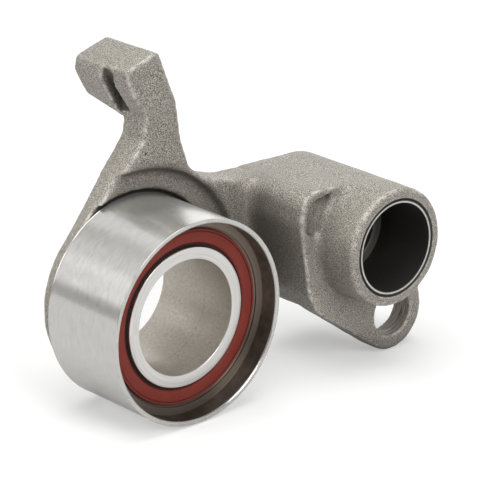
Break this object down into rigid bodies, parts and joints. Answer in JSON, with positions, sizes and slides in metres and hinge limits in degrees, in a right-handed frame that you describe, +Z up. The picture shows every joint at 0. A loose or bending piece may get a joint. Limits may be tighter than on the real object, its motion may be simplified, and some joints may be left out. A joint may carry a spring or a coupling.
{
  "type": "timing belt tensioner pulley",
  "caption": "Cast tensioner arm with a hooked end, a bushed pivot tube and an eared plate, carrying a smooth steel belt pulley on a sealed ball bearing.",
  "frame": {"origin": "on the pulley's axis, at the middle of the belt's width, inside the bearing's bore", "axes": "+Y along the pulley's axis towards the arm's back, +Z up towards the hook, +X from the pulley towards the pivot tube"},
  "size_m": [0.1197, 0.058, 0.1004],
  "materials": {
    "blasted_casting": "grit-blasted casting",
    "bush_steel": "machined, lightly oiled",
    "ground_steel": "satin ground",
    "ring_steel": "fine turned face, matt bore",
    "seal_rubber": "moulded satin",
    "seal_steel": "pressed",
    "cage_polymer": "moulded",
    "ball_steel": "polished"
  },
  "bodies": {
    "arm": {"arm_casting": "blasted_casting", "pivot_bush": "bush_steel", "inner_ring": "ring_steel"},
    "pulley": {"pulley_outer_ring": "ground_steel", "front_seal_rubber": "seal_rubber", "front_seal_insert": "seal_steel", "rear_seal_rubber": "seal_rubber", "rear_seal_insert": "seal_steel"},
    "front_row": {"front_cage": "cage_polymer", "front_ball_01": "ball_steel", "front_ball_02": "ball_steel", "front_ball_03": "ball_steel", "front_ball_04": "ball_steel", "front_ball_05": "ball_steel", "front_ball_06": "ball_steel", "front_ball_07": "ball_steel", "front_ball_08": "ball_steel", "front_ball_09": "ball_steel", "front_ball_10": "ball_steel", "front_ball_11": "ball_steel", "front_ball_12": "ball_steel"},
    "rear_row": {"rear_cage": "cage_polymer", "rear_ball_01": "ball_steel", "rear_ball_02": "ball_steel", "rear_ball_03": "ball_steel", "rear_ball_04": "ball_steel", "rear_ball_05": "ball_steel", "rear_ball_06": "ball_steel", "rear_ball_07": "ball_steel", "rear_ball_08": "ball_steel", "rear_ball_09": "ball_steel", "rear_ball_10": "ball_steel", "rear_ball_11": "ball_steel", "rear_ball_12": "ball_steel"}
  },
  "joints": [
    {"name": "pulley_spin", "type": "hinge", "parent": "arm", "child": "pulley", "pos_m": [0, 0, 0], "axis": [0, 1, 0], "continuous": true},
    {"name": "front_row_orbit", "type": "hinge", "parent": "arm", "child": "front_row", "pos_m": [0, 0, 0], "axis": [0, 1, 0], "continuous": true},
    {"name": "rear_row_orbit", "type": "hinge", "parent": "arm", "child": "rear_row", "pos_m": [0, 0, 0], "axis": [0, 1, 0], "continuous": true}
  ],
  "couplings": [
    {"joint": "front_row_orbit", "follows": "pulley_spin", "ratio": 0.56412},
    {"joint": "rear_row_orbit", "follows": "pulley_spin", "ratio": 0.56412}
  ]
}
